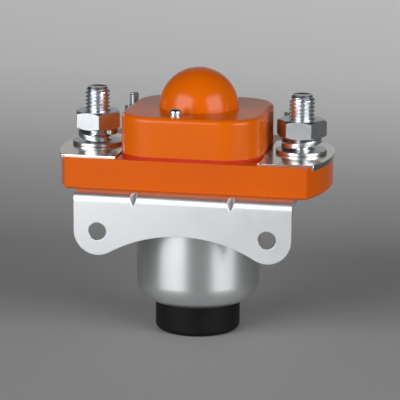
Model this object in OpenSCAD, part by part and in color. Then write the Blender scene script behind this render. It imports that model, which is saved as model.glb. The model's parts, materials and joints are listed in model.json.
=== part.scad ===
// High voltage DC contactor with a pull-down coil. Two terminal studs stand on a moulded base, a contact
// bridge works under the domed cover, and the coil hangs below in a drawn can with a folded bracket.
// The origin is the centre of the cap's underside, on the plunger axis. +Z is up, the studs lie along X
// and the bracket's flange faces -Y. All sizes are in millimetres.

/* [Coil can and cap] */
// Outside diameter of the drawn can
can_d = 49.4; // [47:0.2:54]
// Height of the can, from its floor to the bracket
can_h = 45.9; // [44:0.1:52]
// Wall of the can
can_wall = 1.5; // [1:0.1:1.8]
// Outside radius of the can's bottom edge
can_bottom_r = 9; // [7:0.5:10]
// Diameter of the cap
cap_d = 33.8; // [32:0.2:38]
// Height of the cap
cap_h = 12; // [11.5:0.1:15]
// Wall of the cap
cap_wall = 2.2; // [1.6:0.1:2.8]
// Rounding of the cap's bottom edge
cap_edge_r = 2; // [0.5:0.1:2.1]

/* [Mounting bracket] */
// Sheet thickness
sheet_t = 2.5; // [2:0.1:3]
// Width across the flange
bracket_w = 85.2; // [82:0.2:90]
// Plunger axis to the front face of the flange
flange_front = 33; // [31:0.5:40]
// Outside radius of the fold
fold_r = 5; // [4:0.1:6]
// Spacing of the two mounting holes
hole_spacing = 66.4; // [62:0.2:70]
// Diameter of a mounting hole
hole_d = 7; // [5:0.1:9]
// Mounting holes below the bracket's top face
hole_drop = 15.2; // [13:0.1:20]
// Crown of the arch below the line of the holes
arch_drop = 0.5; // [0.1:0.1:3]
// Spacing of the two pressed darts
dart_spacing = 38; // [30:0.5:44]
// Depth of a pressed dart in the fold
dart_depth = 1.4; // [0.8:0.1:1.5]
// Radius of the round rear part of the bracket's flat leg
yoke_r = 34.4; // [34:0.1:36]

/* [Base] */
// Length of the base over the crowns of its ends
base_length = 107; // [104:0.2:112]
// Plunger axis to the front face of the base
base_front = 28; // [26.5:0.5:30]
// Plunger axis to the back face of the base
base_back = 35; // [35:0.5:40]
// Thickness of the base
base_h = 12.4; // [12:0.1:16]
// Radius of the rounded ends
base_end_r = 56; // [56:1:120]
// Crowns of the ends in front of the plunger axis
base_crown_y = 2.5; // [0:0.5:4]
// Chamfer round the bottom edge
base_chamfer = 0.8; // [0.3:0.1:1.5]

/* [Cover] */
// Width of the cover
cover_w = 55.2; // [53:0.2:57]
// Plunger axis to the back of the cover
cover_back = 26.8; // [25.5:0.1:28]
// Height of the cover without its dome
cover_h = 15.4; // [15:0.1:20]
// Radius of the cover's upright corners
cover_corner_r = 14.6; // [8:0.2:16]
// Rounding of the cover's top edge
cover_edge_r = 1.8; // [0.8:0.1:3]
// Wall of the cover
cover_wall = 2.5; // [2:0.1:3]
// Outside radius of the dome
dome_r = 15.7; // [15:0.1:17]
// Distance of a cover screw from the plunger axis
cover_screw_radius = 22.9; // [21:0.1:23]
// Bearing of the front cover screw, seen from above
cover_screw_bearing = 258; // [240:1:262]
// Head diameter of a cover screw
cover_screw_head_d = 4.7; // [4:0.1:5]
// Head height of a cover screw
cover_screw_head_h = 1.5; // [1:0.1:2.4]
// Diameter of a cover screw's flat washer
cover_washer_d = 5.1; // [5:0.1:6]
// Thickness of a cover screw's flat washer
cover_washer_t = 0.6; // [0.4:0.1:1]
// Thickness of a cover screw's spring washer
cover_lock_t = 0.9; // [0.6:0.1:1.2]
// Thread diameter of a cover screw
cover_screw_d = 3; // [2.5:0.1:3.5]
// Total thickness of the gasket
gasket_t = 1.5; // [1.4:0.1:2]
// Width of the gasket's band
gasket_band = 4.4; // [3.4:0.1:5]

/* [Terminals] */
// Spacing of the terminal studs
stud_spacing = 82; // [78:0.5:84]
// Thread diameter of a terminal stud
stud_d = 10; // [8:0.5:10]
// Height of a stud above the terminal plate
stud_reach = 22.9; // [19:0.1:28]
// Thickness of a terminal plate
plate_t = 2.1; // [1.9:0.1:2.5]
// Depth of a plate's pocket in the base
plate_sink = 1.5; // [1.3:0.1:1.7]
// Plunger axis to the front edge of a terminal plate
plate_front = 25; // [22:0.5:25.5]
// Plunger axis to the back edge of a terminal plate
plate_back = 21; // [18:0.5:22]
// Radius of a plate's rear outer corner
plate_corner_r = 3; // [1:0.5:8]
// Plate beyond the base's end
plate_overhang = 0.6; // [0.2:0.1:1.5]
// Width of the plate's tongue under the cover
tongue_w = 18; // [14:0.5:20]
// Diameter of a flat washer
washer_d = 20; // [19:0.5:22]
// Thickness of a flat washer
washer_t = 1.3; // [1.2:0.1:2.5]
// Section of a spring washer, across the ring
lock_w = 2.6; // [2:0.1:3]
// Section of a spring washer, along the stud
lock_t = 2.1; // [1.8:0.1:2.8]
// Rise of a spring washer's split
lock_rise = 2.8; // [0.5:0.1:3]
// Width across the flats of a terminal nut
nut_s = 17; // [16:0.5:18]
// Height of a terminal nut
nut_h = 7.1; // [6:0.1:9]
// Turn of the left nut
nut_turn_left = -14; // [-30:1:30]
// Turn of the right nut
nut_turn_right = 0; // [-30:1:30]
// Width across the flats of a stud's head
head_s = 16; // [15:0.5:17]
// Height of a stud's head
head_h = 6.4; // [5:0.1:7]
// Depth of a stud's head inside the base
head_recess = 2; // [1:0.1:3]

/* [Coil terminals] */
// Spacing of the two coil terminals
coil_stud_spacing = 66.4; // [64:0.2:68]
// Coil terminals behind the plunger axis
coil_stud_y = 30.2; // [29:0.1:30.3]
// Thread diameter of a coil terminal
coil_stud_d = 4; // [3:0.1:4]
// Height of a coil terminal above its boss
coil_stud_reach = 9.1; // [7:0.1:12]
// Diameter of a coil terminal's boss
coil_boss_d = 9.4; // [9:0.1:9.5]
// Height of a coil terminal's boss
coil_boss_h = 6.9; // [4:0.1:9]
// Diameter of a coil terminal's washer
coil_washer_d = 9; // [8:0.1:9.2]
// Thickness of a coil terminal's washer
coil_washer_t = 0.8; // [0.5:0.1:1.2]
// Width across the flats of a coil terminal's nut
coil_nut_s = 7; // [6:0.1:7.5]
// Height of a coil terminal's nut
coil_nut_h = 3.2; // [2.4:0.1:4]

/* [Contacts] */
// Gap of the open contacts
contact_gap = 4; // [3:0.1:4.4]
// Travel of the plunger after the contacts have met
overtravel = 1.5; // [0.5:0.1:1.6]
// Contacts to the plunger axis
contact_x = 14; // [13:0.1:16]
// Diameter of a contact tip
tip_d = 8; // [6:0.1:9]
// Height of a fixed contact tip
fixed_tip_h = 1.5; // [1:0.1:2]
// Height of a bridge tip
bridge_tip_h = 1.2; // [0.8:0.1:1.6]
// Length of the contact bridge
bridge_l = 39; // [37:0.5:42]
// Width of the contact bridge
bridge_w = 14; // [12:0.5:15]
// Thickness of the contact bridge
bridge_t = 3; // [2:0.1:3.2]
// Height of the contact spring when the contacts are open
contact_spring_h = 10.2; // [9:0.1:11]
// Wire of the contact spring
contact_wire_d = 1.1; // [0.8:0.1:1.2]
// Turns of the contact spring
contact_spring_turns = 5; // [4:0.5:5]

/* [Plunger and coil] */
// Diameter of the plunger
plunger_d = 18; // [16:0.2:18.4]
// Length of the plunger
plunger_l = 21.4; // [20:0.1:24]
// Diameter of the shaft
shaft_d = 6; // [5:0.1:6.2]
// Diameter of the shaft's collar
collar_d = 10; // [9:0.1:11]
// Thickness of the shaft's collar
collar_t = 2; // [1.5:0.1:2.5]
// Wall of the guide tube
tube_wall = 0.6; // [0.4:0.1:0.8]
// Wall of the bobbin
bobbin_wall = 1.2; // [1:0.1:1.5]
// Wire of the return spring
return_wire_d = 1.2; // [0.8:0.1:1.3]
// Turns of the return spring
return_spring_turns = 6; // [5:0.5:7]
// Height of the core nut
core_nut_h = 4.6; // [4:0.1:4.8]
// Insulated diameter of a coil lead
lead_d = 1.8; // [1.2:0.1:2]

/* [Hidden] */
$fn = 96;

// Clearances
running_fit = 0.05;      // shaft in its bush
sliding_fit = 0.1;       // plunger in the guide tube, bridge on the shaft
loose_fit = 0.2;         // bolts in their holes, heads in their pockets
seat_gap = 0.1;          // bridge above the collar when open, contacts when closed
side_gap = 0.3;          // plates beside the gasket, coil below the yoke, plunger below the bush
overlap = 0.01;          // cutters run past the faces that they cut

// Levels, from the floor up
yoke_z = cap_h + can_h;
base_z = yoke_z + sheet_t;
base_top = base_z + base_h;
plate_z = base_top - plate_sink;
plate_top = plate_z + plate_t;
cover_z = base_top + gasket_t;
cover_top = cover_z + cover_h;
washer_top = plate_top + washer_t;
nut_z = washer_top + lock_t + lock_rise;
boss_top = base_top + coil_boss_h;

// Contacts and shaft: the bridge rides on the collar, the spring presses it down
insulator_flange_t = 1;
insulator_d = 9;
insulator_flange_d = 14;
bridge_tip_z = plate_top + fixed_tip_h + contact_gap + seat_gap;
bridge_z = bridge_tip_z + bridge_tip_h;
collar_top = bridge_z - insulator_flange_t - seat_gap;
spring_seat_z = bridge_z + bridge_t + insulator_flange_t;
retainer_z = spring_seat_z + contact_spring_h;
retainer_t = 1;
retainer_d = 13;
shaft_nut_s = 10;
shaft_nut_h = 3;
shaft_stub = 0.8;        // thread that stands out of the shaft nut
shaft_top = retainer_z + retainer_t + shaft_nut_h + shaft_stub;

// Plunger, core and coil
stroke = contact_gap + overtravel;
bush_flange_t = 1.5;
bush_flange_d = 14;
bush_wall = 2;
bush_d = shaft_d + 2*bush_wall;
plunger_top = base_z - side_gap;
plunger_z = plunger_top - plunger_l;
core_top = plunger_z - stroke - seat_gap;
shaft_socket = 10;
shaft_z = plunger_top - shaft_socket;
tube_in_r = plunger_d/2 + sliding_fit;
tube_out_r = tube_in_r + tube_wall;
can_in_r = can_d/2 - can_wall;
can_floor_z = cap_h + can_wall;
spring_bore_d = 11;
spring_bore_depth = 6;
spring_margin = 0.9;     // contact spring inside the rim of its seat
return_spring_r = spring_bore_d/2 - return_wire_d/2 - side_gap;
contact_spring_r = insulator_flange_d/2 - contact_wire_d/2 - spring_margin;
bobbin_in_r = tube_out_r + sliding_fit;
bobbin_out_r = bobbin_in_r + bobbin_wall;
bobbin_room = 0.8;       // bobbin inside the can
bobbin_flange_r = can_in_r - bobbin_room;
bobbin_flange_t = 1.5;
bobbin_top = yoke_z - side_gap;
// The lower flange dips into the can's rounded bottom edge and stays clear of it
flange_dip = 2.4;
bobbin_flange_z = can_floor_z + can_bottom_r - can_wall - flange_dip;
winding_z = bobbin_flange_z + bobbin_flange_t;
winding_top = bobbin_top - bobbin_flange_t;
winding_margin = 1;      // winding inside the rim of the bobbin's flanges
winding_r = bobbin_flange_r - winding_margin;
well_room = 3;           // well round the shaft's collar
well_depth = 5;
well_d = collar_d + 2*well_room;
well_z = base_top - well_depth;

// Core fastening under the can, inside the cap
tail_d = 10;
core_lock_d = 16;
core_nut_s = 17;
retainer_disc_t = 1.5;
core_lock_t = 2;
core_nut_z = cap_h - retainer_disc_t - core_lock_t - core_nut_h;
tail_stub = 0.3;         // thread that stands out of the core nut
cap_floor_room = 0.5;    // cap's floor below the core's tail
tail_z = core_nut_z - tail_stub;
cap_floor_t = tail_z - cap_floor_room;

// Bracket outline: the arch's circle touches both ear circles
hole_z = base_z - hole_drop;
ear_r = (bracket_w - hole_spacing)/2;
arch_r = (pow(hole_spacing/2, 2) + pow(arch_drop, 2) - pow(ear_r, 2)) / (2*(ear_r - arch_drop));
arch_z = hole_z - arch_drop - arch_r;
touch_x = hole_spacing/2 * arch_r/(arch_r + ear_r);
touch_z = arch_z + (hole_z - arch_z) * arch_r/(arch_r + ear_r);
yoke_leg_back = 7;

// Base screws: two beside the flange, two at the back of the round leg
base_screw_d = 4;
base_screw_head_d = 7;
base_screw_head_h = 2.4;
base_screw_depth = 8;
base_screw_tip = 0.5;    // screw's end short of its hole
side_screw_x = 34;
side_screw_y = -15;
rear_screw_x = 12;
rear_screw_inset = 5.5;  // rear screws inside the edge of the round leg
base_screw_places = [for (side = [1, -1], p = [[side_screw_x, side_screw_y],
    [rear_screw_x, yoke_r - rear_screw_inset]]) [side*p[0], p[1]]];

// Cover screws stand opposite each other
cover_screw_depth = 6;
cover_post_d = 7;
cover_screw_bearings = [cover_screw_bearing, cover_screw_bearing + 180];

// Coil leads: up from the winding, then along a channel under the base
lead_x = 14.5;
lead_y = 14.5;
channel_h = 3.5;
channel_room = 0.6;      // channel beyond the lead, on each side
channel_w = lead_d + 2*channel_room;
coil_head_h = 2.8;
coil_head_s = 7;
lead_run = [coil_stud_spacing/2 - lead_x, coil_stud_y - lead_y];
lead_run_l = norm(lead_run);
lead_bearing = atan2(lead_run[1], lead_run[0]);

// Plates
plate_in_x = cover_w/2 + side_gap;
plate_end_r = base_end_r + plate_overhang;
plate_end_x = base_length/2 + plate_overhang;
tip_margin = 0.6;        // plate beyond a fixed contact
tongue_in_x = contact_x - tip_d/2 - tip_margin;

orange = [0.83, 0.38, 0.11];
zinc = [0.78, 0.80, 0.82];
tinned = [0.86, 0.84, 0.80];
copper = [0.80, 0.45, 0.28];
silver = [0.90, 0.90, 0.90];
iron = [0.55, 0.56, 0.58];
black = [0.12, 0.12, 0.12];
cream = [0.90, 0.87, 0.76];
red = [0.70, 0.15, 0.12];
brass = [0.80, 0.66, 0.32];

// Shapes that several pieces use

// Upright block with round corners, from y = -front to y = back
module rounded_block(w, front, back, h, r) {
    translate([-w/2 + r, -front, 0]) cube([w - 2*r, front + back, h]);
    translate([-w/2, -front + r, 0]) cube([w, front + back - 2*r, h]);
    for (x = [-w/2 + r, w/2 - r], y = [-front + r, back - r])
        translate([x, y, 0]) cylinder(r = r, h = h);
}

// The same block with its top edge rounded
module crowned_block(w, front, back, h, r, edge) {
    run_x = w - 2*r;
    run_y = front + back - 2*r;
    rounded_block(w, front, back, h - edge, r);
    rounded_block(w - 2*edge, front - edge, back - edge, h, r - edge);
    for (y = [-front + edge, back - edge])
        translate([-run_x/2, y, h - edge]) rotate([0, 90, 0]) cylinder(r = edge, h = run_x);
    for (x = [-w/2 + edge, w/2 - edge])
        translate([x, -front + r, h - edge]) rotate([-90, 0, 0]) cylinder(r = edge, h = run_y);
    for (x = [-w/2 + r, w/2 - r], y = [-front + r, back - r])
        translate([x, y, h - edge]) rotate_extrude() translate([r - edge, 0]) circle(edge);
}

module ring(d_out, d_in, h) {
    difference() {
        cylinder(d = d_out, h = h);
        translate([0, 0, -overlap]) cylinder(d = d_in, h = h + 2*overlap);
    }
}

// Hexagon bar, s across the flats
module hexagon(s, h) {
    cylinder(r = s/2/cos(30), h = h, $fn = 6);
}

// Hexagon nut with chamfered corners on both faces
module hex_nut(s, h, bore_d) {
    face_r = 0.97*s/2;
    corner_r = s/2/cos(30);
    drop = (corner_r - face_r)*tan(30);
    difference() {
        intersection() {
            hexagon(s, h);
            rotate_extrude() polygon([[0, 0], [face_r, 0], [corner_r, drop],
                [corner_r, h - drop], [face_r, h], [0, h]]);
        }
        translate([0, 0, -overlap]) cylinder(d = bore_d, h = h + 2*overlap);
    }
}

// Closed skin over a row of rings with the same number of points
module skin(rings) {
    sides = len(rings[0]);
    last = len(rings) - 1;
    points = [for (r = rings) for (p = r) p];
    walls = [for (i = [0 : last - 1], j = [0 : sides - 1])
        let (k = (j + 1) % sides)
        [i*sides + j, i*sides + k, (i + 1)*sides + k, (i + 1)*sides + j]];
    start = [for (j = [sides - 1 : -1 : 0]) j];
    end = [for (j = [0 : sides - 1]) last*sides + j];
    polyhedron(points, concat(walls, [start, end]));
}

// Compression spring that fills the height from z = 0 to z = h
module coil_spring(mean_r, wire_d, h, turns) {
    steps = 18;
    sides = 8;
    wire_r = wire_d/2;
    pitch = (h - wire_d)/turns;
    skin([for (i = [0 : turns*steps])
        let (a = 360*i/steps, z = wire_r + pitch*i/steps)
        [for (j = [0 : sides - 1])
            let (b = 360*j/sides, r = mean_r + wire_r*cos(b))
            [r*cos(a), r*sin(a), z + wire_r*sin(b)]]]);
}

// Split lock washer that rises once round and leans, so that its first half rises more than its second.
// Its split opens at the given bearing
module lock_washer(bore_d, w, t, rise, split) {
    steps = 36;
    opening = 12;
    lean = 0.2;
    skin([for (i = [0 : steps])
        let (u = i/steps, a = split + opening/2 + (360 - opening)*u,
            z = rise*(u + lean*(1 - cos(360*u))), r0 = bore_d/2, r1 = bore_d/2 + w)
        [for (p = [[r0, z], [r1, z], [r1, z + t], [r0, z + t]])
            [p[0]*cos(a), p[0]*sin(a), p[1]]]]);
}

module at_stud(side) {
    translate([side*stud_spacing/2, 0, 0]) children();
}

module at_coil_stud(side) {
    translate([side*coil_stud_spacing/2, coil_stud_y, 0]) children();
}

module at_cover_screw(bearing) {
    translate([cover_screw_radius*cos(bearing), cover_screw_radius*sin(bearing), 0]) children();
}

// Moulded parts

// One rounded end of the base, as the disc that the end is an arc of
module base_end(side) {
    translate([side*(base_length/2 - base_end_r), -base_crown_y, base_z]) {
        cylinder(r1 = base_end_r - base_chamfer, r2 = base_end_r, h = base_chamfer, $fn = 200);
        translate([0, 0, base_chamfer]) cylinder(r = base_end_r, h = base_h - base_chamfer, $fn = 200);
    }
}

module base_block() {
    intersection() {
        translate([-base_length/2, 0, base_z]) rotate([90, 0, 90]) linear_extrude(base_length)
            polygon([[-base_front + base_chamfer, 0], [base_back - base_chamfer, 0],
                [base_back, base_chamfer], [base_back, base_h],
                [-base_front, base_h], [-base_front, base_chamfer]]);
        base_end(-1);
        base_end(1);
    }
}

// Channel under the base that takes a coil lead to its terminal
module lead_channel(side) {
    mirror([side < 0 ? 1 : 0, 0, 0]) translate([lead_x, lead_y, base_z - overlap]) {
        cylinder(d = channel_w, h = channel_h + overlap);
        rotate([0, 0, lead_bearing]) translate([0, -channel_w/2, 0])
            cube([lead_run_l, channel_w, channel_h + overlap]);
    }
}

// Pocket in the base's top for a terminal plate, open at the base's end
module plate_pocket(side) {
    pocket_x = plate_in_x - loose_fit;
    tongue_x = tongue_in_x - loose_fit;
    mirror([side < 0 ? 1 : 0, 0, 0]) translate([0, 0, plate_z]) {
        translate([pocket_x, -plate_front - loose_fit, 0])
            cube([base_length/2, plate_front + plate_back + 2*loose_fit, plate_sink + overlap]);
        translate([tongue_x, -tongue_w/2 - loose_fit, 0])
            cube([pocket_x - tongue_x + overlap, tongue_w + 2*loose_fit, plate_sink + overlap]);
    }
}

module base() {
    color(orange) difference() {
        union() {
            base_block();
            for (side = [-1, 1])
                at_coil_stud(side) translate([0, 0, base_z + base_h/2])
                    cylinder(d = coil_boss_d, h = base_h/2 + coil_boss_h);
        }
        // bush, with the well that the collar dips into
        translate([0, 0, base_z - overlap]) cylinder(d = bush_d, h = base_h + 2*overlap);
        translate([0, 0, base_z - overlap]) cylinder(d = bush_flange_d, h = bush_flange_t + overlap);
        translate([0, 0, well_z]) cylinder(d = well_d, h = base_top - well_z + overlap);
        for (side = [-1, 1]) {
            at_stud(side) {
                translate([0, 0, base_z - overlap]) cylinder(d = stud_d, h = base_h + 2*overlap);
                translate([0, 0, base_z - overlap])
                    hexagon(head_s + 2*loose_fit, head_recess + head_h + overlap);
            }
            at_coil_stud(side) {
                translate([0, 0, base_z - overlap])
                    cylinder(d = coil_stud_d, h = base_h + coil_boss_h + 2*overlap);
                translate([0, 0, base_z - overlap])
                    cylinder(d = coil_head_s/cos(30) + 2*loose_fit, h = channel_h + overlap);
            }
            lead_channel(side);
            plate_pocket(side);
        }
        for (p = base_screw_places)
            translate([p[0], p[1], base_z - overlap]) cylinder(d = base_screw_d, h = base_screw_depth);
        for (b = cover_screw_bearings)
            at_cover_screw(b) translate([0, 0, base_top - cover_screw_depth])
                cylinder(d = cover_screw_d, h = cover_screw_depth + overlap);
    }
}

module cover() {
    cavity_w = cover_w - 2*cover_wall;
    cavity_h = cover_h - cover_wall;
    color(orange) translate([0, 0, cover_z]) difference() {
        union() {
            difference() {
                union() {
                    crowned_block(cover_w, base_front, cover_back, cover_h, cover_corner_r, cover_edge_r);
                    intersection() {
                        translate([0, 0, cover_h]) sphere(dome_r);
                        translate([0, 0, cover_h - overlap]) cylinder(r = 2*dome_r, h = 2*dome_r);
                    }
                }
                translate([0, 0, -overlap]) rounded_block(cavity_w, base_front - cover_wall,
                    cover_back - cover_wall, cavity_h + overlap, cover_corner_r - cover_wall);
                translate([0, 0, cover_h]) sphere(dome_r - cover_wall);
            }
            for (b = cover_screw_bearings)
                at_cover_screw(b) cylinder(d = cover_post_d, h = cavity_h + overlap);
        }
        for (b = cover_screw_bearings)
            at_cover_screw(b) translate([0, 0, -overlap])
                cylinder(d = cover_screw_d + loose_fit, h = cover_h + 2*overlap);
    }
}

module cover_gasket() {
    color(red) difference() {
        translate([0, 0, base_top])
            rounded_block(cover_w, base_front, cover_back, gasket_t, cover_corner_r);
        translate([0, 0, base_top - overlap])
            rounded_block(cover_w - 2*gasket_band, base_front - gasket_band, cover_back - gasket_band,
                gasket_t + 2*overlap, cover_corner_r - gasket_band);
        translate([-cover_w, -tongue_w/2 - side_gap, base_top - overlap])
            cube([2*cover_w, tongue_w + 2*side_gap, plate_top - base_top + overlap]);
        for (b = cover_screw_bearings)
            at_cover_screw(b) translate([0, 0, base_top - overlap])
                cylinder(d = cover_screw_d + 2*loose_fit, h = gasket_t + 2*overlap);
    }
}

// Screws with domed heads, each with a captive flat washer and spring washer
module cover_screws() {
    head_z = cover_top + cover_washer_t + cover_lock_t;
    dome_head_r = (pow(cover_screw_head_d/2, 2) + pow(cover_screw_head_h, 2))/(2*cover_screw_head_h);
    lock_d = cover_screw_head_d - 2*loose_fit;
    color(zinc) for (b = cover_screw_bearings) at_cover_screw(b) {
        intersection() {
            translate([0, 0, head_z + cover_screw_head_h - dome_head_r]) sphere(dome_head_r);
            translate([0, 0, head_z]) cylinder(d = 2*cover_screw_head_d, h = 2*cover_screw_head_h);
        }
        translate([0, 0, cover_top]) cylinder(d = cover_washer_d, h = cover_washer_t);
        translate([0, 0, cover_top]) cylinder(d = lock_d, h = head_z - cover_top + overlap);
        translate([0, 0, base_top - cover_screw_depth])
            cylinder(d = cover_screw_d, h = cover_top - base_top + cover_screw_depth + overlap);
    }
}

module end_cap() {
    cap_r = cap_d/2;
    color(black) difference() {
        union() {
            translate([0, 0, cap_edge_r]) cylinder(r = cap_r, h = cap_h - cap_edge_r);
            cylinder(r = cap_r - cap_edge_r, h = cap_edge_r);
            translate([0, 0, cap_edge_r]) rotate_extrude() translate([cap_r - cap_edge_r, 0])
                circle(cap_edge_r);
        }
        translate([0, 0, cap_floor_t]) cylinder(r = cap_r - cap_wall, h = cap_h);
    }
}

// Sheet metal

// Cutter for a pressed dart, a short valley across the outside of the fold
module dart(x) {
    reach = 2*dart_depth;
    valley = fold_r - dart_depth;
    translate([x, -flange_front + fold_r, base_z - fold_r]) rotate([135, 0, 0])
        linear_extrude(2*fold_r, center = true)
            polygon([[0, valley], [reach, valley + reach], [-reach, valley + reach]]);
}

module flange() {
    translate([0, -flange_front + sheet_t, 0]) rotate([90, 0, 0]) difference() {
        union() {
            translate([-bracket_w/2, hole_z, 0])
                cube([bracket_w, base_z - fold_r - hole_z, sheet_t]);
            linear_extrude(sheet_t) polygon([[-touch_x, touch_z], [touch_x, touch_z],
                [hole_spacing/2, hole_z + sheet_t], [-hole_spacing/2, hole_z + sheet_t]]);
            for (side = [-1, 1])
                translate([side*hole_spacing/2, hole_z, 0]) cylinder(r = ear_r, h = sheet_t);
        }
        translate([0, arch_z, -overlap]) cylinder(r = arch_r, h = sheet_t + 2*overlap, $fn = 200);
        for (side = [-1, 1])
            translate([side*hole_spacing/2, hole_z, -overlap])
                cylinder(d = hole_d, h = sheet_t + 2*overlap);
    }
}

// Quarter tube that joins the flange to the flat leg
module fold() {
    translate([-bracket_w/2, -flange_front + fold_r, base_z - fold_r]) intersection() {
        rotate([0, 90, 0]) difference() {
            cylinder(r = fold_r, h = bracket_w);
            translate([0, 0, -overlap]) cylinder(r = fold_r - sheet_t, h = bracket_w + 2*overlap);
        }
        translate([0, -fold_r, 0]) cube([bracket_w, fold_r, fold_r]);
    }
}

module yoke_leg() {
    front_y = -flange_front + fold_r;
    translate([-bracket_w/2, front_y, yoke_z]) cube([bracket_w, -yoke_leg_back - front_y, sheet_t]);
    translate([0, 0, yoke_z]) intersection() {
        cylinder(r = yoke_r, h = sheet_t);
        translate([-yoke_r, front_y, 0]) cube([2*yoke_r, yoke_r - front_y, sheet_t]);
    }
}

module mounting_bracket() {
    color(zinc) difference() {
        union() {
            flange();
            fold();
            yoke_leg();
        }
        for (side = [-1, 1]) {
            dart(side*dart_spacing/2);
            translate([side*lead_x, lead_y, yoke_z - overlap])
                cylinder(d = lead_d + 2*loose_fit, h = sheet_t + 2*overlap);
        }
        translate([0, 0, yoke_z - overlap]) cylinder(r = tube_out_r + running_fit, h = sheet_t + 2*overlap);
        for (p = base_screw_places)
            translate([p[0], p[1], yoke_z - overlap])
                cylinder(d = base_screw_d + 2*loose_fit, h = sheet_t + 2*overlap);
    }
}

// Solid of revolution with the can's outer form, offset inwards
module can_form(inset) {
    r = can_d/2 - inset;
    edge = can_bottom_r - inset;
    z = cap_h + inset;
    translate([0, 0, z]) {
        translate([0, 0, edge]) cylinder(r = r, h = yoke_z - z - edge);
        cylinder(r = r - edge, h = edge);
        translate([0, 0, edge]) intersection() {
            rotate_extrude() translate([r - edge, 0]) circle(edge);
            translate([0, 0, -edge]) cylinder(r = r + can_wall, h = edge);
        }
    }
}

module coil_can() {
    color(zinc) difference() {
        can_form(0);
        can_form(can_wall);
        translate([0, 0, yoke_z - overlap]) cylinder(r = can_in_r, h = 2*overlap);
        translate([0, 0, cap_h - overlap]) cylinder(d = tail_d + 2*loose_fit, h = can_wall + 2*overlap);
    }
}

// Fasteners and terminals

module base_screws() {
    color(zinc) for (p = base_screw_places) translate([p[0], p[1], 0]) {
        translate([0, 0, yoke_z - base_screw_head_h])
            cylinder(d = base_screw_head_d, h = base_screw_head_h);
        translate([0, 0, yoke_z - overlap])
            cylinder(d = base_screw_d, h = sheet_t + base_screw_depth - base_screw_tip);
    }
}

module cap_retainer() {
    color(zinc) translate([0, 0, cap_h - retainer_disc_t])
        ring(cap_d - 2*cap_wall, tail_d + 2*loose_fit, retainer_disc_t);
}

module core_lock_washer() {
    color(zinc) translate([0, 0, core_nut_z + core_nut_h])
        ring(core_lock_d, tail_d + 2*loose_fit, core_lock_t);
}

module core_nut() {
    color(zinc) translate([0, 0, core_nut_z]) hex_nut(core_nut_s, core_nut_h, tail_d);
}

module terminal_plate(side) {
    end_cx = plate_end_x - plate_end_r;
    corner_y = plate_back - plate_corner_r;
    corner_rise = corner_y + base_crown_y;
    corner_run = sqrt(pow(plate_end_r - plate_corner_r, 2) - pow(corner_rise, 2));
    corner_a = atan2(corner_rise, corner_run);
    corner_far = 2*plate_corner_r;
    color(tinned) mirror([side < 0 ? 1 : 0, 0, 0]) translate([0, 0, plate_z]) difference() {
        union() {
            difference() {
                intersection() {
                    translate([plate_in_x, -plate_front, 0])
                        cube([plate_end_x - plate_in_x, plate_front + plate_back, plate_t]);
                    translate([end_cx, -base_crown_y, 0]) cylinder(r = plate_end_r, h = plate_t, $fn = 200);
                }
                // rear outer corner, from where the end's arc meets the corner's
                translate([end_cx + corner_run, corner_y, -overlap]) difference() {
                    linear_extrude(plate_t + 2*overlap)
                        polygon([[0, 0], [corner_far*cos(corner_a), corner_far*sin(corner_a)],
                            [corner_far, corner_far], [0, corner_far]]);
                    translate([0, 0, -overlap]) cylinder(r = plate_corner_r, h = plate_t + 4*overlap);
                }
            }
            translate([tongue_in_x, -tongue_w/2, 0])
                cube([plate_in_x - tongue_in_x + overlap, tongue_w, plate_t]);
        }
        translate([stud_spacing/2, 0, -overlap])
            cylinder(d = stud_d + 2*loose_fit, h = plate_t + 2*overlap);
    }
}

module terminal_stud(side) {
    tip = 1;
    shank_z = base_z + head_recess + head_h;
    tip_z = plate_top + stud_reach - tip;
    color(zinc) at_stud(side) {
        translate([0, 0, base_z + head_recess]) hexagon(head_s, head_h);
        translate([0, 0, shank_z]) cylinder(d = stud_d, h = tip_z - shank_z);
        translate([0, 0, tip_z]) cylinder(d1 = stud_d, d2 = stud_d - 2*tip, h = tip);
    }
}

module flat_washer(side) {
    color(zinc) at_stud(side) translate([0, 0, plate_top]) ring(washer_d, stud_d + 2*loose_fit, washer_t);
}

module spring_washer(side) {
    split = side < 0 ? -42 : 160;
    color(zinc) at_stud(side) translate([0, 0, washer_top]) mirror([0, side < 0 ? 1 : 0, 0])
        lock_washer(stud_d + 2*loose_fit, lock_w, lock_t, lock_rise, side < 0 ? -split : split);
}

module terminal_nut(side) {
    color(zinc) at_stud(side) translate([0, 0, nut_z])
        rotate([0, 0, side < 0 ? nut_turn_left : nut_turn_right]) hex_nut(nut_s, nut_h, stud_d);
}

module coil_stud(side) {
    tip = 0.5;
    shank_z = base_z + channel_h;
    tip_z = boss_top + coil_stud_reach - tip;
    color(zinc) at_coil_stud(side) {
        translate([0, 0, shank_z - coil_head_h]) hexagon(coil_head_s, coil_head_h);
        translate([0, 0, shank_z]) cylinder(d = coil_stud_d, h = tip_z - shank_z);
        translate([0, 0, tip_z]) cylinder(d1 = coil_stud_d, d2 = coil_stud_d - 2*tip, h = tip);
    }
}

module coil_washer(side) {
    color(zinc) at_coil_stud(side) translate([0, 0, boss_top])
        ring(coil_washer_d, coil_stud_d + 2*loose_fit, coil_washer_t);
}

module coil_nut(side) {
    color(zinc) at_coil_stud(side) translate([0, 0, boss_top + coil_washer_t])
        hex_nut(coil_nut_s, coil_nut_h, coil_stud_d);
}

module fixed_contact(side) {
    color(silver) translate([side*contact_x, 0, plate_top]) cylinder(d = tip_d, h = fixed_tip_h);
}

// Magnet

module shaft_bush() {
    color(brass) translate([0, 0, base_z]) difference() {
        union() {
            cylinder(d = bush_flange_d, h = bush_flange_t);
            cylinder(d = bush_d, h = well_z - base_z);
        }
        translate([0, 0, -overlap]) cylinder(d = shaft_d + 2*running_fit, h = base_h);
    }
}

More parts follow.
